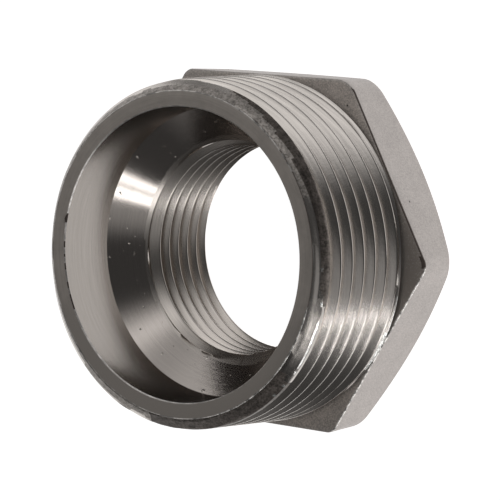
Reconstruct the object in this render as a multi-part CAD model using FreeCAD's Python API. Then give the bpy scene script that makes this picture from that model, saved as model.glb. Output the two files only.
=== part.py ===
import FreeCAD, Part
import math
import os

# Reducing hex bushing for pipe, one piece: a tapered outer thread on one end, a
# hexagon on the other, and a smaller parallel thread down the middle.
# Millimetres. The part stands on its hexagon, with the outer thread upward.
# The origin is the centre of the hexagon's end face, and Z is the bore's axis.
# Both threads have their true section, pitch and taper, as rings without a helix.

# Hexagon, cast, with its end face turned
hex_across_flats = 42.5
hex_height = 7.75
hex_corner_radius = 2.2
hex_bevel_angle = 33.0
hex_bevel_inset = 0.5

# Angle between the flanks of either thread
thread_angle = 60.0

# Outer thread, tapered 1 in 16 on the diameter, 11.5 turns to the inch
outer_length = 15.9
outer_end_diameter = 41.34
outer_taper = 1.0 / 32.0
outer_pitch = 25.4 / 11.5
outer_crest_flat = 0.25
outer_first_crest = 1.5
end_chamfer = 1.3

# Undercut that parts the last ring of the outer thread from the hexagon
undercut_width = 0.4
undercut_depth = 0.5

# Mouth: a plain counterbore and the cone that leads in to the inner thread
mouth_wall = 3.22
mouth_depth = 8.05
cone_half_angle = 50.0

# Inner thread, parallel, 14 turns to the inch, with a countersunk exit
inner_diameter = 25.34
inner_pitch = 25.4 / 14.0
inner_crest_flat = 0.2
inner_lead = 0.58
exit_countersink = 1.9

# How far a cutting shape runs past the surface that it cuts
overrun = 0.3

up = FreeCAD.Vector(0, 0, 1)
total_height = hex_height + outer_length


def revolved(profile):
    """Solid of revolution about Z from (radius, height) points."""
    points = [FreeCAD.Vector(radius, 0, height) for radius, height in profile]
    face = Part.Face(Part.makePolygon(points + [points[0]]))
    return face.revolve(FreeCAD.Vector(0, 0, 0), up, 360)


def hexagon():
    """Hexagon with rounded upright corners and a turned bevel round its end face."""
    corner = hex_across_flats / math.sqrt(3)
    points = []
    for index in range(6):
        turn = math.radians(60 * index)
        points.append(FreeCAD.Vector(corner * math.cos(turn), corner * math.sin(turn), 0))
    prism = Part.Face(Part.makePolygon(points + [points[0]])).extrude(up * hex_height)
    upright = [edge for edge in prism.Edges if abs(edge.tangentAt(0).z) > 0.99]
    prism = prism.makeFillet(hex_corner_radius, upright)
    face_radius = hex_across_flats / 2 - hex_bevel_inset
    far_radius = corner + overrun
    rise = (far_radius - face_radius) * math.tan(math.radians(hex_bevel_angle))
    turned = revolved([
        (0, 0),
        (face_radius, 0),
        (far_radius, rise),
        (far_radius, hex_height),
        (0, hex_height),
    ])
    return prism.common(turned)


def vee_rings(crest_radius, outward, pitch, crest_flat, first_crest, lowest):
    """Profile points of a thread, from its first crest down, as V grooves.

    crest_radius gives the radius at a height. outward is 1 where the grooves are
    cut out into a bore's wall, and -1 where they are cut in towards the axis.
    As many whole grooves are cut as there is room for above the lowest height.
    """
    depth = (pitch - crest_flat) / 2 / math.tan(math.radians(thread_angle / 2))
    points = []
    for index in range(math.floor((first_crest - lowest) / pitch)):
        crest = first_crest - index * pitch
        root = crest - pitch / 2
        upper = crest - crest_flat / 2
        lower = crest - pitch + crest_flat / 2
        points.append((crest_radius(upper), upper))
        points.append((crest_radius(root) + outward * depth, root))
        points.append((crest_radius(lower), lower))
    return points


def outer_radius(height):
    """Crest radius of the outer thread at a height above the hexagon's end face."""
    return outer_end_diameter / 2 + (total_height - height) * outer_taper


def barrel():
    """Barrel with the outer thread, its end chamfer and the undercut under it."""
    undercut_top = hex_height + undercut_width
    neck_radius = outer_radius(undercut_top) - undercut_depth
    chamfer_base = total_height - end_chamfer
    thread = vee_rings(
        outer_radius, -1, outer_pitch, outer_crest_flat,
        total_height - outer_first_crest, undercut_top
    )
    profile = [
        (0, total_height),
        (outer_radius(chamfer_base) - end_chamfer, total_height),
        (outer_radius(chamfer_base), chamfer_base),
    ]
    profile += thread
    profile += [
        (outer_radius(undercut_top), undercut_top),
        (neck_radius, undercut_top),
        (neck_radius, hex_height - overrun),
        (0, hex_height - overrun),
    ]
    return revolved(profile)


def passage():
    """All that the bore takes away: mouth, cone, inner thread and countersink."""
    mouth_radius = outer_end_diameter / 2 - mouth_wall
    inner_radius = inner_diameter / 2
    mouth_floor = total_height - mouth_depth
    cone_drop = (mouth_radius - inner_radius) / math.tan(math.radians(cone_half_angle))
    cone_end = mouth_floor - cone_drop
    thread = vee_rings(
        lambda height: inner_radius, 1, inner_pitch, inner_crest_flat,
        cone_end - inner_lead, exit_countersink
    )
    profile = [
        (0, total_height + overrun),
        (mouth_radius, total_height + overrun),
        (mouth_radius, mouth_floor),
        (inner_radius, cone_end),
    ]
    profile += thread
    profile += [
        (inner_radius, exit_countersink),
        (inner_radius + exit_countersink + overrun, -overrun),
        (0, -overrun),
    ]
    return revolved(profile)


os.makedirs("parts", exist_ok=True)
hex_bushing = hexagon().fuse(barrel()).cut(passage())
hex_bushing.exportStep("parts/hex_bushing.step")
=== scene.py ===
import math
import bpy
from mathutils import Matrix, Vector, noise


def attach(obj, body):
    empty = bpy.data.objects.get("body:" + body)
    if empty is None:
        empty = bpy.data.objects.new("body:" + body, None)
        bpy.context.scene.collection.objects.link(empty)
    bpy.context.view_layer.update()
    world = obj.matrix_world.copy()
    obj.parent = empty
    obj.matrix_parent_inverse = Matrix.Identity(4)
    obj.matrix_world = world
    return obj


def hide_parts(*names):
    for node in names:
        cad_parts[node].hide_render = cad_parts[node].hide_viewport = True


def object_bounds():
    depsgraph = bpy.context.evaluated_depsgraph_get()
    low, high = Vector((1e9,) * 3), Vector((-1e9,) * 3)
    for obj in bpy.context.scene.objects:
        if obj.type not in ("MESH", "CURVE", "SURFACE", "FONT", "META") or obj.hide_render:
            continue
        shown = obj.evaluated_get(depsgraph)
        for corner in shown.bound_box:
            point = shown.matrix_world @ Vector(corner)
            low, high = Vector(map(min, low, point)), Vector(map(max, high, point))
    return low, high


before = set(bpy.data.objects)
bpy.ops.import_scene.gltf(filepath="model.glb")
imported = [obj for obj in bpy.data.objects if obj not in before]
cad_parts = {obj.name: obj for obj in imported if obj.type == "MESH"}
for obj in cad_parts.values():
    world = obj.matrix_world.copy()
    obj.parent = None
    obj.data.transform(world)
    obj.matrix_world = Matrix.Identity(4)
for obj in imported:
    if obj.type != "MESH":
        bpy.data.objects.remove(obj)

# Reducing hex bushing, one piece. Z runs up the bore and the hexagon's end face is on z = 0.
# Sizes in the dictionaries are millimetres and degrees.
# Every ring round the bore has the same number of columns, so that the rings weld.

mm = 0.001
columns = 288
hair = 0.001                 # how far a place may be off a surface and still lie on it
cadLow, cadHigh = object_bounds()
print("frame loaded")


def deselectAll():
    if bpy.context.object and bpy.context.object.mode != "OBJECT":
        bpy.ops.object.mode_set(mode="OBJECT")
    bpy.ops.object.select_all(action="DESELECT")


# how far a value is on its way from the first limit to the second, from 0 to 1
def share(value, low, high):
    return min(max((value - low) / (high - low), 0.0), 1.0)


def within(value, limits):
    return limits[0] < value < limits[1]


# 1 at the middle turn and 0 far from it, rounded with power 2 and broad with power 4
def hump(turn, middle, spread, power):
    return math.exp(-((turn - middle) / spread) ** power)


def turnOf(place):
    return math.degrees(math.atan2(place.y, place.x))


def radiusOf(place):
    return math.hypot(place.x, place.y) / mm


def setPoint(vertex, turn, radius, height):
    angle = math.radians(turn)
    vertex.co = (radius * mm * math.cos(angle), radius * mm * math.sin(angle), height * mm)


# a section is drawn as by hand: one point, extruded to the next and the next
def drawSection(name, points):
    deselectAll()
    bpy.ops.mesh.primitive_plane_add(size=mm)
    section = bpy.context.object
    section.name = name
    bpy.ops.object.mode_set(mode="EDIT")
    bpy.ops.mesh.select_all(action="SELECT")
    bpy.ops.mesh.merge(type="CENTER")
    bpy.ops.transform.translate(value=(points[0][0] * mm, 0, points[0][1] * mm))
    for here, there in zip(points, points[1:]):
        step = ((there[0] - here[0]) * mm, 0, (there[1] - here[1]) * mm)
        bpy.ops.mesh.extrude_region_move(TRANSFORM_OT_translate={"value": step})
    return section


# turned rings: the section is spun once round the bore
def turnSection(section):
    bpy.ops.mesh.select_all(action="SELECT")
    bpy.ops.mesh.spin(steps=columns, angle=2 * math.pi, use_auto_merge=True,
                      center=(0, 0, 0), axis=(0, 0, 1))
    bpy.ops.mesh.select_all(action="SELECT")
    bpy.ops.mesh.remove_doubles(threshold=1e-7)
    bpy.ops.object.mode_set(mode="OBJECT")
    return section


# threads: one pitch of section is screwed up the bore, each turn meeting the next
def screwSection(section, pitch, turns):
    bpy.ops.object.mode_set(mode="OBJECT")
    bpy.ops.object.modifier_add(type="SCREW")
    screw = section.modifiers[-1]
    screw.angle = 2 * math.pi
    screw.screw_offset = pitch * mm
    screw.iterations = turns
    screw.steps = screw.render_steps = columns
    screw.use_smooth_shade = True
    bpy.ops.object.modifier_apply(modifier=screw.name)
    return section


# what the sections of both threads share
threadForm = {
    "flankLean": 30.0,
    "flankRows": (0.75, 0.5, 0.25, 0.08),     # shares of the depth
    "rootRound": (0.02, 0.03),                # along the pitch, and up out of the root
    "crestRound": (0.01, 0.035),              # along the pitch, and down from the crest
}


# one pitch of thread, root to root, as (height, depth below the crest)
def threadSection(thread):
    half, flat, depth = thread["pitch"] / 2, thread["crestFlat"] / 2, thread["depth"]
    slope = math.tan(math.radians(threadForm["flankLean"]))
    foot = flat + depth * slope
    rootIn, rootUp = threadForm["rootRound"]
    crestOut, crestDown = threadForm["crestRound"]
    rise = [(-half, depth), (-foot + rootIn, depth - rootUp)]
    for part in threadForm["flankRows"]:
        rise.append((-flat - depth * part * slope, depth * part))
    rise += [(-flat - crestOut, crestDown), (-flat / 2, 0.0)]
    return rise + [(-height, below) for height, below in reversed(rise)]


# where a point of a screwed sheet is: turn, height, depth, and how far along the groove it lies
def readPoint(thread, vertex, outward):
    x, y, z = (c / mm for c in vertex.co)
    turn = math.degrees(math.atan2(y, x))
    below = (math.hypot(x, y) - thread["radius"]) * outward
    crestHeight = thread["firstCrest"] + thread["pitch"] * (turn - thread["crestTurn"]) / 360
    groove = math.floor((crestHeight - z) / thread["pitch"] + 1e-6)
    return turn, z, below, groove * 360 - turn


# a sheet of thread, screwed up from as many turns below its first crest
def makeThreadSheet(name, thread, outward):
    foot = thread["firstCrest"] - thread["pitch"] * (thread["crestTurn"] / 360 + thread["turnsDown"])
    points = [(thread["radius"] + outward * below, foot + height)
              for height, below in threadSection(thread)]
    return screwSection(drawSection(name, points), thread["pitch"], thread["turnsDown"] + 2)


barrel = {
    "top": round(cadHigh[2] / mm, 2),         # end face
    "radius": 20.67,         # crests at the end face
    "taper": 1 / 32,
    "pitch": 25.4 / 11.5,
    "depth": 1.65,
    "crestFlat": 0.17,
    "firstCrest": 22.147,    # height of the first crest at crestTurn
    "crestTurn": 7.0,
    "turnsDown": 7,
    "rimRadius": 19.37,      # outer edge of the end face
    "rimEdge": 0.08,         # rounding of that edge
    "rimRows": ((0.0, 1.0), (0.05, 0.3), (0.13, 0.0)),     # inward in mm, and share of rimEdge down
    "bottom": 8.15,          # where the undercut starts
    "bottomFade": 0.6,       # the groove grows shallow over this height above it
    "start": -200.0,         # degrees along the groove where it leaves the end's bevel
    "startLength": 40.0,
    "runOut": 2230.0,        # degrees of groove from the first crest to its end
    "runOutLength": 30.0,
}
# outside the end face: a bevel, then the band down to the first crest
barrelEnd = {
    "bevelDrop": 0.70,
    "bandFoot": 1.3,
    "tornTurn": 12.0,        # where the band is torn steepest
    "tornSpread": 42.0,
    "tornLift": 0.26,
    "tornReach": 0.08,
    "fullTurn": -122.0,      # where the bevel was cut least
    "fullSpread": 34.0,
    "fullLift": 0.5,
    "burrTurn": -25.0,       # where the first crest was rolled up to a lip, bright with a painted highlight
    "burrSpread": 16.0,
    "burrLift": 0.3,
}
rolledLip = {
    "startTurns": (-41, -33),
    "endTurns": (-9, -17),
    "above": 0.75,           # its middle, above the first crest
    "half": 0.4,
    "edge": 0.3,
    "lift": 0.05,
}
# the first crest is ragged, and the foot of the band above it too
raggedCrest = {
    "above": 0.2,
    "half": 0.2,
    "reach": 0.8,
    "size": 0.05,
    "perDegree": 0.5,
    "perHeight": 3,
}
# the last crest bulges over the hexagon's edge
lastCrest = {
    "turn": -24.0,
    "spread": 17.0,
    "lift": 0.2,
    "reach": 1.2,
}


def barrelRadius(height):
    return barrel["radius"] + (barrel["top"] - height) * barrel["taper"]


# the end before threading: a bevel, then the band, which stands steeper where it is torn
def endRadius(turn, height):
    rim, drop = barrel["rimRadius"], barrel["top"] - height
    torn = hump(turn, barrelEnd["tornTurn"], barrelEnd["tornSpread"], 4)
    lift = barrelEnd["fullLift"] * hump(turn, barrelEnd["fullTurn"], barrelEnd["fullSpread"], 2)
    lift += barrelEnd["burrLift"] * hump(turn, barrelEnd["burrTurn"], barrelEnd["burrSpread"], 4)
    bevel = barrelEnd["bevelDrop"] - barrelEnd["tornLift"] * torn - lift / 2
    bandFoot = barrelEnd["bandFoot"] - lift
    reach = barrelEnd["bevelDrop"] + barrelEnd["tornReach"] * torn
    foot = barrelRadius(barrel["top"] - bandFoot) - rim
    if drop < bevel:
        return rim + drop * reach / bevel
    return rim + reach + (drop - bevel) * (foot - reach) / (bandFoot - bevel)


def lastBulge(turn, height):
    bulge = hump(turn, lastCrest["turn"], lastCrest["spread"], 4)
    low = share(barrel["bottom"] + lastCrest["reach"] - height, 0, lastCrest["reach"])
    return lastCrest["lift"] * bulge * low


# how far a place lies above the first crest
def aboveFirstCrest(turn, height):
    return height - barrel["firstCrest"] - barrel["pitch"] * (turn - barrel["crestTurn"]) / 360


# 1 along the lip, which a painted highlight makes bright, and 0 past its ends
def lipShare(turn):
    return share(turn, *rolledLip["startTurns"]) * share(turn, *rolledLip["endTurns"])


def lipLift(turn, height):
    near = rolledLip["half"] - abs(aboveFirstCrest(turn, height) - rolledLip["above"])
    return rolledLip["lift"] * share(near, 0, rolledLip["edge"]) * lipShare(turn)


def raggedLift(turn, height):
    away = abs(aboveFirstCrest(turn, height) - raggedCrest["above"])
    rough = 1 - share(away, raggedCrest["half"], raggedCrest["reach"])
    spot = Vector((turn * raggedCrest["perDegree"], height * raggedCrest["perHeight"], 0))
    return raggedCrest["size"] * rough * noise.noise(spot)


def makeBarrelThread():
    sheet = makeThreadSheet("barrelThread", barrel, -1)
    top, rim = barrel["top"] - barrel["rimEdge"], barrel["rimRadius"]
    for vertex in sheet.data.vertices:
        turn, z, below, along = readPoint(barrel, vertex, -1)
        height = min(max(z, barrel["bottom"]), top)
        fade = share(barrel["runOut"] - along, 0, barrel["runOutLength"])
        fade *= share(along - barrel["start"], 0, barrel["startLength"])
        fade *= share(z - barrel["bottom"], 0, barrel["bottomFade"])
        radius = barrelRadius(height) - below * fade + raggedLift(turn, height)
        radius = max(min(radius, endRadius(turn, height)), rim - (top - height))
        radius += lipLift(turn, height) + lastBulge(turn, height)
        if z >= top:
            radius = rim
        setPoint(vertex, turn, radius, height)
    return sheet


mouth = {
    "radius": 17.45,
    "floor": 15.6,
    "coneHalfAngle": 50.0,
    "coneEnd": 13.6,         # where the cone's ring hands over to the thread's sheet
    "edge": 0.13,            # the small chamfer at the mouth's rim
    "nickTurn": 171.0,       # a nick in that rim
    "nickHalf": 2.0,
    "nickDepth": 0.3,
    "wallRows": 8,
    "coneRows": 4,
}


def coneRadius(height):
    drop = mouth["floor"] - height
    return mouth["radius"] - drop * math.tan(math.radians(mouth["coneHalfAngle"]))


def makeMouth():
    top, edge, floor = barrel["top"], mouth["edge"], mouth["floor"]
    points = [(barrel["rimRadius"] - inward, top - barrel["rimEdge"] * down)
              for inward, down in barrel["rimRows"]]
    points.append((mouth["radius"] + edge, top))
    for row in range(mouth["wallRows"] + 1):
        points.append((mouth["radius"], top - edge - (top - edge - floor) * row / mouth["wallRows"]))
    for row in range(1, mouth["coneRows"] + 1):
        height = floor - (floor - mouth["coneEnd"]) * row / mouth["coneRows"]
        points.append((coneRadius(height), height))
    rings = turnSection(drawSection("mouthRings", points))
    for vertex in rings.data.vertices:
        turn, radius = turnOf(vertex.co), radiusOf(vertex.co)
        nick = share(mouth["nickHalf"] - abs(turn - mouth["nickTurn"]), 0, mouth["nickHalf"])
        if abs(radius - mouth["radius"] - edge) < 10 * hair and nick > 0:
            setPoint(vertex, turn, radius + mouth["nickDepth"] * nick, top)
    return rings


bore = {
    "radius": 12.67,
    "pitch": 25.4 / 14,
    "depth": 1.35,
    "crestFlat": 0.12,
    "firstCrest": 11.917,
    "crestTurn": 7.0,
    "turnsDown": 7,
    "start": -280.0,         # degrees along the groove where the tool bit in
    "startLength": 3.0,
    "startDepth": 0.5,       # share of the depth there, full after fullAfter degrees
    "fullAfter": 110.0,
    "countersink": 1.9,
    "exitRows": (0.15, 0.05),     # heights of the rows that round the exit's edge
    "exitEdge": 0.08,
    "bottom": 0.8,           # where the thread's sheet hands over to the countersink
}


def makeBoreThread():
    sheet = makeThreadSheet("boreThread", bore, 1)
    low, high = bore["bottom"], mouth["coneEnd"]
    for vertex in sheet.data.vertices:
        turn, z, below, along = readPoint(bore, vertex, 1)
        height = min(max(z, low), high)
        grown = share(along - bore["start"], 0, bore["fullAfter"])
        deep = bore["startDepth"] + (1 - bore["startDepth"]) * grown
        fade = share(along - bore["start"], 0, bore["startLength"]) * deep
        radius = max(bore["radius"] + below * fade, coneRadius(height),
                     bore["radius"] + bore["countersink"] - height)
        if z < low:
            radius = bore["radius"] + bore["countersink"] - low
        if z > high:
            radius = coneRadius(high)
        setPoint(vertex, turn, radius, height)
    return sheet


def makeExit():
    edge = bore["radius"] + bore["countersink"]
    points = [(edge - height, height) for height in (bore["bottom"], *bore["exitRows"])]
    points.append((edge + bore["exitEdge"], 0))
    return turnSection(drawSection("exitRings", points))


neck = {
    "inset": 0.5,
    "lip": (0.08, 0.04),     # inward and down from the barrel's last edge
    "step": 0.05,            # down to the undercut's upper wall
}


def makeNeck():
    low = barrel["bottom"]
    crest = barrelRadius(low)
    inner = crest - neck["inset"]
    inward, down = neck["lip"]
    points = [
        (crest, low),
        (crest - inward, low - down),
        (inner, low - neck["step"]),
        (inner, hexagon["height"]),
    ]
    rings = turnSection(drawSection("neckRings", points))
    for vertex in rings.data.vertices:
        if radiusOf(vertex.co) > crest - hair:
            turn = turnOf(vertex.co)
            setPoint(vertex, turn, crest + lastBulge(turn, low), low)
    return rings


hexagon = {
    "acrossFlats": round((cadHigh[1] - cadLow[1]) / mm, 2),
    "height": 7.75,
    "frontCorner": 1.5,      # corner radius at the front, and at the back
    "backCorner": 3.4,
    "wornCorner": 3.0,       # one front corner is rounder
    "wornTurn": 60.0,
    "cornerSteps": 10,
    "flatRows": 6,
    "bevelInset": 0.5,
    "bevelAngle": 33.0,
    "edge": 0.16,            # rounding of the front edge
    "edgeRows": ((0.3, 0.7), (0.7, 0.3)),     # inward and up, as shares of it
    "margin": 0.3,           # strip of the front face that the corner's scar lies in
}
halfSide = math.radians(30)  # the turn from a corner to the middle of a flat


def pickVertices(skin, wanted):
    for item in list(skin.data.edges) + list(skin.data.polygons):
        item.select = False
    for vertex in skin.data.vertices:
        vertex.select = wanted(vertex)
    for item in skin.data.edges:
        item.select = all(skin.data.vertices[i].select for i in item.vertices)


# the picked loop is extruded, and the new one lands on a turned ring's columns, in order
def extrudeToRing(skin, radius, height):
    bpy.ops.object.mode_set(mode="EDIT")
    bpy.ops.mesh.extrude_region_move()
    bpy.ops.object.mode_set(mode="OBJECT")
    loop = [vertex for vertex in skin.data.vertices if vertex.select]
    loop.sort(key=lambda vertex: (turnOf(vertex.co) + 180 / columns) % 360)
    for index, vertex in enumerate(loop):
        setPoint(vertex, 360 * index / columns, radius, height)


# a round corner of one radius becomes one of another, and the flats stay where they are
def changeCorner(vertex, radius):
    flat, start = hexagon["acrossFlats"] / 2, hexagon["frontCorner"]
    x, y = vertex.co.x / mm, vertex.co.y / mm
    corner = math.radians(60 * round(math.degrees(math.atan2(y, x)) / 60))
    toCorner = Vector((math.cos(corner), math.sin(corner)))
    reach = (flat - start) / math.cos(halfSide)
    centre = Vector((reach * math.cos(corner), reach * math.sin(corner)))
    outward = (Vector((x, y)) - centre).normalized()
    side = halfSide if math.degrees(math.atan2(y, x) - corner) > 0 else -halfSide
    flatNormal = Vector((math.cos(corner + side), math.sin(corner + side)))
    normal = outward if outward.dot(toCorner) > math.cos(halfSide) else flatNormal
    core = (Vector((x, y)) - normal * start) * (flat - radius) / (flat - start)
    vertex.co.x, vertex.co.y = (core.x + normal.x * radius) * mm, (core.y + normal.y * radius) * mm


# six flats with round corners, cut into as many columns as the rings have
def drawOutline():
    deselectAll()
    reach = hexagon["acrossFlats"] / 2 / math.cos(halfSide)
    bpy.ops.mesh.primitive_circle_add(vertices=6, radius=reach * mm, fill_type="NGON",
                                      rotation=(0, 0, halfSide))
    bpy.ops.object.transform_apply(rotation=True)
    skin = bpy.context.object
    skin.name = "hexagonSkin"
    bpy.ops.object.mode_set(mode="EDIT")
    bpy.ops.mesh.select_all(action="SELECT")
    # the tangent length of a round corner between two flats at 120 degrees
    bpy.ops.mesh.bevel(offset=hexagon["frontCorner"] * math.tan(halfSide) * mm,
                       segments=hexagon["cornerSteps"], affect="VERTICES")
    bpy.ops.mesh.select_all(action="SELECT")
    bpy.ops.mesh.delete(type="ONLY_FACE")
    bpy.ops.mesh.select_mode(type="EDGE")
    bpy.ops.object.mode_set(mode="OBJECT")
    for item in skin.data.edges:
        ends = [skin.data.vertices[i].co for i in item.vertices]
        item.select = (ends[0] - ends[1]).length > 5 * mm     # the flats, not the corner's steps
    bpy.ops.object.mode_set(mode="EDIT")
    bpy.ops.mesh.subdivide(number_cuts=columns // 6 - hexagon["cornerSteps"] - 1)
    bpy.ops.mesh.select_mode(type="VERT")
    bpy.ops.mesh.select_all(action="SELECT")
    return skin


# up the flats, in round the front edge, and across the margin of the front face
def raiseSides():
    edge, reach = hexagon["edge"], hexagon["acrossFlats"] / 2
    rows = [(0, (hexagon["height"] - edge) / hexagon["flatRows"])] * hexagon["flatRows"]
    rows += [(edge * inward, edge * rise) for inward, rise in hexagon["edgeRows"]]
    rows.append((hexagon["margin"], 0))
    for inward, step in rows:
        bpy.ops.mesh.extrude_region_move(TRANSFORM_OT_translate={"value": (0, 0, step * mm)})
        size = (reach - inward) / reach
        bpy.ops.transform.resize(value=(size, size, 1), center_override=(0, 0, 0))
        reach -= inward
    bpy.ops.object.mode_set(mode="OBJECT")


def wearCorners(skin):
    for vertex in skin.data.vertices:
        up = share(vertex.co.z / mm, 0, hexagon["height"] - hexagon["edge"])
        worn = abs(turnOf(vertex.co) - hexagon["wornTurn"]) < 30
        front = hexagon["wornCorner" if worn else "frontCorner"]
        changeCorner(vertex, hexagon["backCorner"] + (front - hexagon["backCorner"]) * up)


# each column stands on the turned bevel, higher with its foot's distance from the bore
def standOnBevel(skin, face, places):
    slope = math.tan(math.radians(hexagon["bevelAngle"]))
    side = hexagon["height"] - hexagon["edge"]
    lifts = {}
    for place, vertex in zip(places, skin.data.vertices):
        if vertex.co.z / mm < hair:
            lifts[place] = (radiusOf(vertex.co) - face) * slope
    for place, vertex in zip(places, skin.data.vertices):
        height = vertex.co.z / mm
        if height < side - hair:
            vertex.co.z += lifts[place] * (1 - height / side) * mm
    return [place in lifts and vertex.co.z / mm < lifts[place] + hair
            for place, vertex in zip(places, skin.data.vertices)]


def makeHexagon():
    skin = drawOutline()
    raiseSides()
    front = [vertex.select for vertex in skin.data.vertices]
    places = [round(turnOf(vertex.co) % 360, 2) % 360 for vertex in skin.data.vertices]
    wearCorners(skin)
    face = hexagon["acrossFlats"] / 2 - hexagon["bevelInset"]
    feet = standOnBevel(skin, face, places)
    # the front edge is extruded in to the neck
    pickVertices(skin, lambda vertex: front[vertex.index])
    extrudeToRing(skin, barrelRadius(barrel["bottom"]) - neck["inset"], hexagon["height"])
    # down the bevel to the end face, and across it to the countersink
    pickVertices(skin, lambda vertex: vertex.index < len(feet) and feet[vertex.index])
    extrudeToRing(skin, face, 0)
    extrudeToRing(skin, bore["radius"] + bore["countersink"] + bore["exitEdge"], 0)
    return skin


def makeBushing():
    parts = [makeBarrelThread(), makeMouth(), makeBoreThread(), makeExit(), makeNeck(), makeHexagon()]
    deselectAll()
    for part in parts:
        part.select_set(True)
    bpy.context.view_layer.objects.active = parts[0]
    bpy.ops.object.join()
    whole = bpy.context.object
    whole.name = "bushing"
    bpy.ops.object.mode_set(mode="EDIT")
    bpy.ops.mesh.select_all(action="SELECT")
    bpy.ops.mesh.remove_doubles(threshold=2e-6)
    bpy.ops.mesh.dissolve_degenerate(threshold=1e-7)
    bpy.ops.mesh.select_all(action="SELECT")
    bpy.ops.mesh.normals_make_consistent(inside=False)
    bpy.ops.object.mode_set(mode="OBJECT")
    bpy.ops.object.shade_smooth_by_angle(angle=math.radians(28))
    return whole


bushing = makeBushing()
print("bushing welded", len(bushing.data.polygons), "faces")

# metals
finishes = {
    "castSkin": {"color": (0.465, 0.43, 0.41), "roughness": 0.55},
    # the front face's cast skin, painted lighter than the sides' skin as light falling on it
    "castFrontPaintedShade": {"color": (0.57, 0.525, 0.49), "roughness": 0.6},
    "turnedFace": {"color": (0.50, 0.455, 0.415), "roughness": 0.36},
    # strip under the bevel, painted light at its top and painted shade lower down
    "endStrip": {"color": (0.48, 0.445, 0.415), "roughness": 0.27},
    "cutThread": {"color": (0.50, 0.465, 0.435), "roughness": 0.19},
    "mouthWall": {"color": (0.375, 0.345, 0.32), "roughness": 0.22},
    "polishedCone": {"color": (0.46, 0.42, 0.39), "roughness": 0.125},
    # rim of the mouth, its light colour partly a painted highlight
    "mouthRimPaintedHighlight": {"color": (0.72, 0.69, 0.66), "roughness": 0.42},
    "boreThread": {"color": (0.50, 0.46, 0.425), "roughness": 0.24},
    "tornBand": {"color": (0.36, 0.33, 0.305), "roughness": 0.4},
    # the torn metal again, painted dark as the shade of the valley
    "tornValleyPaintedShade": {"color": (0.14, 0.122, 0.11), "roughness": 0.42},
    # outer edge of the face, broken into painted glints
    "rimLinePaintedGlints": {"color": (0.62, 0.59, 0.56), "roughness": 0.35},
    # a burr, its light colour partly painted glints
    "burrPaintedGlints": {"color": (0.70, 0.67, 0.64), "roughness": 0.35},
    # the lip's light colour is a painted highlight, and its dots painted glints
    "lip": {"color": (0.78, 0.75, 0.72), "roughness": 0.24},
    "scar": {"color": (0.12, 0.10, 0.09), "roughness": 0.6},
}
# pits of the casting, each a place and a radius
pits = [
    ((12.13, 18.19, 7.75), 0.16),
    ((20.30, 7.35, 5.72), 0.17),
]


# a short hand for adding nodes to one node tree
class Wiring:
    def __init__(self, tree):
        self.nodes, self.links = tree.nodes, tree.links

    def feed(self, socket, value):
        if isinstance(value, (int, float)):
            socket.default_value = value
        else:
            self.links.new(value, socket)

    def reckon(self, operation, *values):
        node = self.nodes.new("ShaderNodeMath")
        node.operation = operation
        for socket, value in zip(node.inputs, values):
            self.feed(socket, value)
        return node.outputs[0]

    def blend(self, first, second, part):
        firstPart = self.reckon("MULTIPLY", first, part)
        return self.reckon("ADD", firstPart, self.reckon("MULTIPLY", second, 1 - part))

    # the value's way from low to high becomes one from toLow to toHigh
    def between(self, value, low, high, toLow, toHigh, form="LINEAR"):
        node = self.nodes.new("ShaderNodeMapRange")
        node.interpolation_type = form
        self.links.new(value, node.inputs["Value"])
        for socket, number in zip(("From Min", "From Max", "To Min", "To Max"), (low, high, toLow, toHigh)):
            node.inputs[socket].default_value = number
        return node.outputs["Result"]

    def axes(self, vector):
        split = self.nodes.new("ShaderNodeSeparateXYZ")
        self.links.new(vector, split.inputs[0])
        return split.outputs


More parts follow.
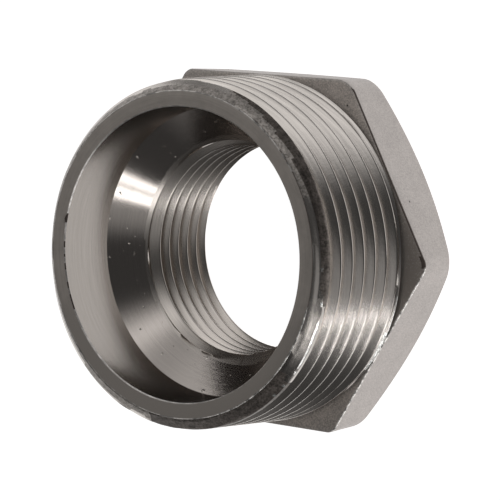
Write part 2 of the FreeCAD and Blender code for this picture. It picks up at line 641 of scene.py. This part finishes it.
# the metal of one finish
class Metal(Wiring):
    def __init__(self, name):
        self.color = finishes[name]["color"]
        self.material = bpy.data.materials.new(name)
        self.material.use_nodes = True
        super().__init__(self.material.node_tree)
        self.shader = self.nodes["Principled BSDF"]
        self.shader.inputs["Base Color"].default_value = (*self.color, 1)
        self.shader.inputs["Metallic"].default_value = 1
        self.shader.inputs["Roughness"].default_value = finishes[name]["roughness"]
        self.place = self.nodes.new("ShaderNodeTexCoord").outputs["Object"]

    # coordinates that run slowly round the bore and fast across it, as tool marks do
    def roundBore(self, around, across):
        x, y, z = self.axes(self.place)
        squares = self.reckon("ADD", self.reckon("MULTIPLY", x, x), self.reckon("MULTIPLY", y, y))
        radius = self.reckon("SQRT", squares)
        joined = self.nodes.new("ShaderNodeCombineXYZ")
        for socket, axis in zip(joined.inputs, (x, y)):
            self.feed(socket, self.reckon("MULTIPLY", self.reckon("DIVIDE", axis, radius), around))
        self.feed(joined.inputs[2], self.reckon("MULTIPLY", self.reckon("ADD", z, radius), across / mm))
        return joined.outputs[0]

    def noise(self, vector, scale, detail=3, roughness=0.6):
        node = self.nodes.new("ShaderNodeTexNoise")
        self.links.new(vector, node.inputs["Vector"])
        node.inputs["Scale"].default_value = scale
        node.inputs["Detail"].default_value = detail
        node.inputs["Roughness"].default_value = roughness
        return node.outputs["Fac"]

    def toolMarks(self, across):
        return self.noise(self.roundBore(2.5, across), 1.0, 4, 0.7)

    def bump(self, height, depth, under=None):
        node = self.nodes.new("ShaderNodeBump")
        node.inputs["Distance"].default_value = depth * mm
        node.inputs["Strength"].default_value = 1
        self.links.new(height, node.inputs["Height"])
        if under is not None:
            self.links.new(under, node.inputs["Normal"])
        self.links.new(node.outputs["Normal"], self.shader.inputs["Normal"])
        return node.outputs["Normal"]

    # as the value goes from low to high, the colour goes from a darker to a lighter one
    def tint(self, value, low, high, dark, light):
        ramp = self.nodes.new("ShaderNodeValToRGB")
        for element, amount in zip(ramp.color_ramp.elements, (dark, light)):
            element.color = (*(min(part * amount, 1) for part in self.color), 1)
        self.links.new(self.between(value, low, high, 0, 1), ramp.inputs["Fac"])
        self.links.new(ramp.outputs["Color"], self.shader.inputs["Base Color"])

    # a dark pit round one place
    def darken(self, place, radius):
        apart = self.nodes.new("ShaderNodeVectorMath")
        apart.operation = "DISTANCE"
        self.links.new(self.place, apart.inputs[0])
        apart.inputs[1].default_value = [c * mm for c in place]
        mix = self.nodes.new("ShaderNodeMix")
        mix.data_type = "RGBA"
        reach = self.between(apart.outputs["Value"], radius / 2 * mm, radius * mm, 0, 1)
        self.links.new(reach, mix.inputs["Factor"])
        mix.inputs["A"].default_value = (*(part * 0.25 for part in self.color), 1)
        self.links.new(self.shader.inputs["Base Color"].links[0].from_socket, mix.inputs["B"])
        self.links.new(mix.outputs["Result"], self.shader.inputs["Base Color"])


# cast metal: a grain in a cloudy skin; on the front face painted light makes it lighter at the top, and
# painted shade darker low down and at its right
def makeCast(name):
    metal = Metal(name)
    grain = metal.noise(metal.place, 5 / mm)
    mixed = metal.blend(grain, metal.noise(metal.place, 0.35 / mm), 0.75)
    if name == "castFrontPaintedShade":
        # painted light and shade on the front face: lighter towards +Y, darker towards its right
        along = metal.axes(metal.place)
        high = metal.between(along["Y"], -5 * mm, 18 * mm, -0.04, 0.03)
        side = metal.between(along["X"], 14 * mm, 21 * mm, 0, -0.2)
        mixed = metal.reckon("ADD", mixed, metal.reckon("ADD", high, side))
        metal.tint(mixed, 0.3, 0.7, 0.6, 1.4)
    else:
        metal.tint(mixed, 0.38, 0.62, 0.86, 1.12)
    metal.bump(grain, 0.04)
    for place, radius in pits:
        metal.darken(place, radius)
    return metal.material


# turned surfaces: fine rings that shade the metal, and specks that stand up from it
def makeTurned(name, across, depth, streak=0.06, speck=0.0, chatter=0.0):
    metal = Metal(name)
    rings = metal.toolMarks(across)
    metal.tint(rings, 0.35, 0.65, 1 - streak, 1 + streak)
    normal = metal.bump(rings, depth)
    if chatter:
        metal.bump(metal.noise(metal.place, 2.2 / mm), chatter, normal)
    if speck:
        specks = metal.noise(metal.place, 1.6 / mm, 1, 0.4)
        metal.bump(metal.between(specks, 0.72, 0.80, 0, 1), speck, normal)
    return metal.material


# turned surfaces that are cloudy between their rings, with painted light and shade: their colour falls off
# towards -Y
def makeCloudy(name, cloud, paintedLightFall, low, high, dark, light):
    metal = Metal(name)
    rings = metal.toolMarks(6)
    cloudy = metal.blend(rings, metal.noise(metal.place, cloud / mm, 4, 0.7), 0.5)
    start, end, toStart, toEnd = paintedLightFall
    # painted shade: the colour darkens towards -Y
    paintedLightSlope = metal.between(metal.axes(metal.place)["Y"], start * mm, end * mm, toStart, toEnd)
    metal.tint(metal.reckon("ADD", cloudy, paintedLightSlope), low, high, dark, light)
    metal.bump(rings, 0.01)
    return metal.material


# torn metal: pits and flakes of two sizes
def makeTorn(name):
    metal = Metal(name)
    coarse = metal.noise(metal.place, 1.2 / mm, 4, 0.7)
    fine = metal.noise(metal.place, 4 / mm)
    metal.tint(metal.blend(coarse, fine, 0.5), 0.4, 0.6, 0.45, 1.15)
    metal.bump(fine, 0.015, metal.bump(coarse, 0.05))
    return metal.material


# thin edges and burrs, which break up along their length; their light colour is partly a painted highlight,
# broken into painted glints
def makeEdge(name, grain, dark, light, depth):
    metal = Metal(name)
    broken = metal.noise(metal.place, grain / mm, 4, 0.75)
    metal.tint(broken, 0.42, 0.60, dark, light)
    metal.bump(broken, depth)
    return metal.material


metals = [
    makeCast("castSkin"),
    makeCast("castFrontPaintedShade"),
    # the end face, with painted shade that darkens it towards -Y
    makeCloudy("turnedFace", cloud=0.5, paintedLightFall=(-4, -17, 0, -0.45),
               low=0.35, high=0.65, dark=0.86, light=1.14),
    # the strip under the bevel: a painted highlight at its top that falls off into painted shade towards -Y
    makeCloudy("endStrip", cloud=1, paintedLightFall=(-5.5, -11.5, 0.22, -0.2),
               low=0.2, high=0.8, dark=0.2, light=1.08),
    makeTurned("cutThread", across=7, depth=0.008, streak=0.1, chatter=0.006),
    makeTurned("mouthWall", across=7, depth=0.006),
    makeTurned("polishedCone", across=9, depth=0.005, streak=0.05, speck=0.03),
    makeEdge("mouthRimPaintedHighlight", grain=0.8, dark=0.7, light=1.2, depth=0.02),
    makeTurned("boreThread", across=5, depth=0.003),
    makeTorn("tornBand"),
    # the valley: the same torn metal, painted dark as shade
    makeTorn("tornValleyPaintedShade"),
    makeEdge("rimLinePaintedGlints", grain=0.5, dark=0.4, light=1.3, depth=0.04),
    makeEdge("burrPaintedGlints", grain=1.6, dark=0.3, light=1.45, depth=0.15),
    # the lip: a painted highlight along the rolled lip, and painted glints
    makeEdge("lip", grain=1.2, dark=0.75, light=1.35, depth=0.03),
    Metal("scar").material,
]

# where the wear and the painted light and shade lie outside the end face, by turn and by height above the
# first crest
endWearAndPaintedLight = {
    "threadTop": -0.12,      # plain thread below this
    "lipAbove": 0.72,
    "lipHalf": 0.14,
    "lipDots": (-56, -9),    # turns between which the lip breaks up into dots of painted glints past its ends
    "lipDotLevel": 0.22,
    "rimDots": (-12, 3),     # and the dots of painted glints above it
    "rimDotAbove": 0.9,
    "rimDotHalf": 0.16,
    "rimDotLevel": 0.34,
    "valleyStart": (-15, -5),     # turns over which the dark valley's painted shade grows, and goes again
    "valleyEnd": (74, 38),
    "valleyTop": 0.95,
    "backTurns": (-100, 80),      # past these the band is a narrow one under the face
    "backDrop": 0.62,
    "bandStart": 22,
    "darkEnd": -38,          # the ring is painted dark as shade from the first of backTurns to here
    "stripFoot": 0.3,
    "stripEnd": -9,
}


# the end of the barrel, outside its face: bevel, torn band and first crest, with painted shade in the dark
# valley and a painted highlight and glints on the lip
def finishOfEnd(turn, height, wander, dot):
    above = aboveFirstCrest(turn, height)
    drop = barrel["top"] - height
    if above < endWearAndPaintedLight["threadTop"]:
        return "cutThread"
    onDot = dot > endWearAndPaintedLight["lipDotLevel"] and within(turn, endWearAndPaintedLight["lipDots"])
    onLip = lipShare(turn) > 0.9 or onDot
    if onLip and abs(above - endWearAndPaintedLight["lipAbove"]) < endWearAndPaintedLight["lipHalf"]:
        return "lip"
    onDot = dot > endWearAndPaintedLight["rimDotLevel"] and within(turn, endWearAndPaintedLight["rimDots"])
    if onDot and abs(above - endWearAndPaintedLight["rimDotAbove"]) < endWearAndPaintedLight["rimDotHalf"]:
        return "lip"
    # painted shade of the dark valley
    valley = share(turn + wander * 8, *endWearAndPaintedLight["valleyEnd"])
    valley *= share(turn + wander * 6, *endWearAndPaintedLight["valleyStart"])
    if valley > 0 and above < endWearAndPaintedLight["valleyTop"] * valley:
        return "tornValleyPaintedShade"
    backFrom, backTo = endWearAndPaintedLight["backTurns"]
    if turn + wander * 20 > backTo or turn < backFrom:
        return "tornBand" if drop < endWearAndPaintedLight["backDrop"] + wander * 0.15 else "cutThread"
    if turn + wander * 8 > endWearAndPaintedLight["bandStart"]:
        return "tornBand"
    if turn < endWearAndPaintedLight["darkEnd"] + wander * 8:
        return "tornValleyPaintedShade"
    onStrip = above > endWearAndPaintedLight["stripFoot"] and turn < endWearAndPaintedLight["stripEnd"] + wander * 6
    return "endStrip" if onStrip else "cutThread"


# what parts one surface from the next
bounds = {
    "boreReach": 2.2,        # from the inner thread's crests out to its roots and countersink
    "boreTop": 12.6,
    "boreLevel": 0.95,       # a normal's rise, above which a face is level there
    "rimReach": 0.2,         # from the mouth's chamfer out to the end face
    "endDepth": 2.6,         # from the end face down past the first crest
    "endRadius": 18.5,
    "edgeReach": 0.4,        # from the barrel out to the hexagon's front edge
    "edgeLevel": 0.98,
}
# where the other wear lies, and the painted highlights and glints on the last crest and the burrs
marks = {
    "toolTurn": -83.4,       # where the tool bit in to cut the inner thread
    "toolHalf": 0.6,
    "toolRadius": (12.7, 13.8),
    "toolHeight": (11.5, 12.7),
    "rimScarTurn": -152,     # the left part of the mouth's rim is dark and broken
    "rimScarLevel": -0.12,
    "bruiseTurns": (-12, 38),     # bruise along the face's outer edge
    "bruiseFoot": 0.03,
    "rimBurrTurns": (-70, -5),
    "lastLipHalf": 14,       # painted highlight along the last crest's bulge, in the lip finish
    "lastLipHeight": 0.12,
    "lastLipReach": 0.3,
    "edgeBurrTurns": (-60, -0.5),     # the hexagon's front edge, below its right corner with painted glints, and above it
    "edgeScarTurns": (0, 58),
    "cornerScar": (-0.5, 5),
    "cornerScarRadius": 23.4,
}


# the mouth's wall with its rim, and the rounding of the face's outer edge; the rims' light colours are
# partly painted highlights and glints
def finishOfRims(turn, radius, height, wander):
    top = barrel["top"]
    if radius > mouth["radius"] + mouth["edge"] + bounds["rimReach"]:
        if within(turn + wander * 10, marks["bruiseTurns"]):
            return "scar" if height < top - marks["bruiseFoot"] else "turnedFace"
        # painted glints along the face's outer edge
        return "burrPaintedGlints" if within(turn, marks["rimBurrTurns"]) else "rimLinePaintedGlints"
    if height < top - mouth["edge"]:
        return "mouthWall"
    nicked = abs(turn - mouth["nickTurn"]) < mouth["nickHalf"]
    broken = turn < marks["rimScarTurn"] and wander > marks["rimScarLevel"]
    return "scar" if nicked or broken else "mouthRimPaintedHighlight"


# the hexagon: its front edge, front face and sides, with painted glints on the front edge below its right
# corner and painted light and shade on the front face
def finishOfHexagon(turn, radius, height, level):
    front = hexagon["height"]
    outside = radius > barrel["radius"] + bounds["edgeReach"]
    if height > front - hexagon["edge"] and outside and not level:
        if within(turn, marks["edgeBurrTurns"]):
            return "burrPaintedGlints"
        return "scar" if within(turn, marks["edgeScarTurns"]) else "castSkin"
    if height > front - hair:
        outer = radius > marks["cornerScarRadius"] + 0.1 * abs(turn - 0.5)
        return "scar" if outer and within(turn, marks["cornerScar"]) else "castFrontPaintedShade"
    return "castSkin"


# each face takes the finish of the surface it lies on
def finishOf(face):
    turn, radius, height = turnOf(face.center), radiusOf(face.center), face.center.z / mm
    wander = noise.noise(face.center / mm * 1.1)
    top = barrel["top"]
    toolMark = within(radius, marks["toolRadius"]) and within(height, marks["toolHeight"])
    if toolMark and abs(turn - marks["toolTurn"]) < marks["toolHalf"]:
        return "scar"
    inBore = radius < bore["radius"] + bounds["boreReach"] and height < bounds["boreTop"]
    if inBore and abs(face.normal.z) < bounds["boreLevel"]:
        return "boreThread"
    if radius < mouth["radius"] + 10 * hair and height < mouth["floor"]:
        return "polishedCone"
    inside = radius < mouth["radius"] + mouth["edge"] + bounds["rimReach"]
    inMouth = inside and height > mouth["floor"]
    if (inMouth or height > top - barrel["rimEdge"]) and height < top - hair:
        return finishOfRims(turn, radius, height, wander)
    if height > top - hair or height < hair:
        return "turnedFace"
    if height > top - bounds["endDepth"] and radius > bounds["endRadius"]:
        slow, quick = (noise.noise(face.center / mm * scale) for scale in (0.5, 2.3))
        return finishOfEnd(turn, height, slow, quick)
    if height > hexagon["height"] + 10 * hair:
        lowest = height < barrel["bottom"] + marks["lastLipHeight"]
        onBulge = lowest and abs(turn - lastCrest["turn"]) < marks["lastLipHalf"]
        # a painted highlight along the bulge of the last crest
        return "lip" if onBulge and radius > barrel["radius"] + marks["lastLipReach"] else "cutThread"
    return finishOfHexagon(turn, radius, height, face.normal.z > bounds["edgeLevel"])


bushing.data.materials.clear()
for metal in metals:
    bushing.data.materials.append(metal)
order = [metal.name for metal in metals]
for face in bushing.data.polygons:
    face.material_index = order.index(finishOf(face))
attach(bushing, "root")
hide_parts("hex_bushing")
print("finishes given")


# floor: white to the camera and to reflections, and grey paper under that, which keeps the shadow
paper = {
    "size": 3000,
    "drop": 0.02,
    "color": (0.5, 0.5, 0.5),
    "roughness": 0.9,
    "glow": 0.93,
}


def makeFloor():
    deselectAll()
    bpy.ops.mesh.primitive_plane_add(size=paper["size"] * mm, location=(0, 0, -paper["drop"] * mm))
    floor = bpy.context.object
    floor.name = "floor"
    white = bpy.data.materials.new("whitePaper")
    white.use_nodes = True
    wiring = Wiring(white.node_tree)
    shader = wiring.nodes["Principled BSDF"]
    shader.inputs["Base Color"].default_value = (*paper["color"], 1)
    shader.inputs["Roughness"].default_value = paper["roughness"]
    shader.inputs["Emission Color"].default_value = (1, 1, 1, 1)
    path = wiring.nodes.new("ShaderNodeLightPath")
    seen = path.outputs["Is Camera Ray"]
    for other in ("Is Glossy Ray", "Is Transmission Ray"):
        seen = wiring.reckon("MAXIMUM", seen, path.outputs[other])
    wiring.feed(shader.inputs["Emission Strength"], wiring.reckon("MULTIPLY", seen, paper["glow"]))
    floor.data.materials.append(white)


makeFloor()

# camera
shot = {
    "place": (203.03, 33.42, 284.95),
    "forward": (-0.5904, -0.0976, -0.8011),
    "up": (-0.0947, 0.9942, -0.0513),
    "lens": 203.8,
    "sensor": 36,
}
forward = Vector(shot["forward"]).normalized()
right = forward.cross(Vector(shot["up"])).normalized()
up = right.cross(forward)
bpy.ops.object.camera_add(location=Vector(shot["place"]) * mm)
camera = bpy.context.object
camera.rotation_euler = Matrix((right, up, -forward)).transposed().to_euler()
camera.data.lens = shot["lens"]
camera.data.sensor_width = shot["sensor"]
camera.data.clip_start = 0.01
camera.data.clip_end = 10
bpy.context.scene.camera = camera
print("camera set")

# light: a soft wall on the +Y side, dim elsewhere, a faint glow and narrow lamps
# the pairs are limits of a direction's part along an axis, between which a light comes up or goes
studio = {
    "wall": 1.15,
    "wallFrom": (0.28, 0.68),
    "wallLow": (0.15, 0.4),
    "wallSide": (0.55, 0.2),
    "wallHigh": (0.68, 0.82),
    "wallFade": 0.38,        # share of it that is left high up
    "dim": 0.06,
    "left": 0.24,
    "leftFrom": (0.0, -0.45),
    "glow": 0.3,             # round the lamps, which lies lower to the right
    "glowTilt": (0, 1, -1.05),
    "glowFrom": (-0.85, -1.08),
    "glowSide": (0.05, 0.3),
    "glowEnd": (-0.68, -0.5),
    "distance": 400,         # of the lamps, from the place that they aim at
    "aim": (0, 0, 14),
}
# a lamp stands where a surface of that lean, turned that way, mirrors it to the camera
lamps = {
    "coneLampHigh": {"turn": -26.5, "lean": 50, "width": 34, "length": 150, "radiance": 3.5},
    "coneLampLow": {"turn": -20.0, "lean": 50, "width": 41, "length": 150, "radiance": 3.5},
    "threadLamp": {"turn": -18.6, "lean": 60, "width": 18, "length": 120, "radiance": 3.2},
    "edgeLamp": {"turn": -24.0, "lean": 41, "width": 250, "length": 40, "radiance": 2.6},
    "lipLamp": {"turn": -23.0, "lean": 24, "width": 230, "length": 230, "radiance": 5.5},
}


def makeWorld():
    world = bpy.data.worlds.new("studio")
    bpy.context.scene.world = world
    world.use_nodes = True
    wiring = Wiring(world.node_tree)
    direction = wiring.nodes.new("ShaderNodeTexCoord").outputs["Generated"]
    x, y, z = wiring.axes(direction)
    tilted = wiring.nodes.new("ShaderNodeVectorMath")
    tilted.operation = "DOT_PRODUCT"
    tilted.inputs[1].default_value = studio["glowTilt"]
    wiring.links.new(direction, tilted.inputs[0])

    def rise(value, limits, low=0, high=1):
        return wiring.between(value, *studio[limits], low, high, "SMOOTHSTEP")

    wall = rise(y, "wallFrom", 0, studio["wall"])
    for factor in (rise(z, "wallLow"), rise(x, "wallSide"), rise(y, "wallHigh", 1, studio["wallFade"])):
        wall = wiring.reckon("MULTIPLY", wall, factor)
    glow = rise(tilted.outputs["Value"], "glowFrom", 0, studio["glow"])
    for factor in (rise(x, "glowSide"), rise(y, "glowEnd")):
        glow = wiring.reckon("MULTIPLY", glow, factor)
    rest = rise(x, "leftFrom", studio["dim"], studio["left"])
    light = wiring.reckon("ADD", wiring.reckon("ADD", wall, rest), glow)
    wiring.feed(wiring.nodes["Background"].inputs["Strength"], light)
    wiring.nodes["Background"].inputs["Color"].default_value = (1, 1, 1, 1)


def makeLamp(name, lamp):
    toCamera = -forward
    turn, lean = math.radians(lamp["turn"]), math.radians(lamp["lean"])
    normal = Vector((math.cos(turn) * math.cos(lean), math.sin(turn) * math.cos(lean), math.sin(lean)))
    toward = (2 * normal.dot(toCamera) * normal - toCamera).normalized()
    tangent = Vector((-math.sin(turn), math.cos(turn), 0))
    long = tangent.cross(toward).normalized()
    place = (Vector(studio["aim"]) + toward * studio["distance"]) * mm
    bpy.ops.object.light_add(type="AREA", location=place)
    made = bpy.context.object
    made.name = name
    made.data.shape = "RECTANGLE"
    made.data.size, made.data.size_y = lamp["length"] * mm, lamp["width"] * mm
    made.data.energy = lamp["radiance"] * math.pi * made.data.size * made.data.size_y
    made.rotation_euler = Matrix((long, toward.cross(long), toward)).transposed().to_euler()


makeWorld()
for name, lamp in lamps.items():
    makeLamp(name, lamp)
bpy.context.scene.view_settings.view_transform = "Standard"
print("lamps set")
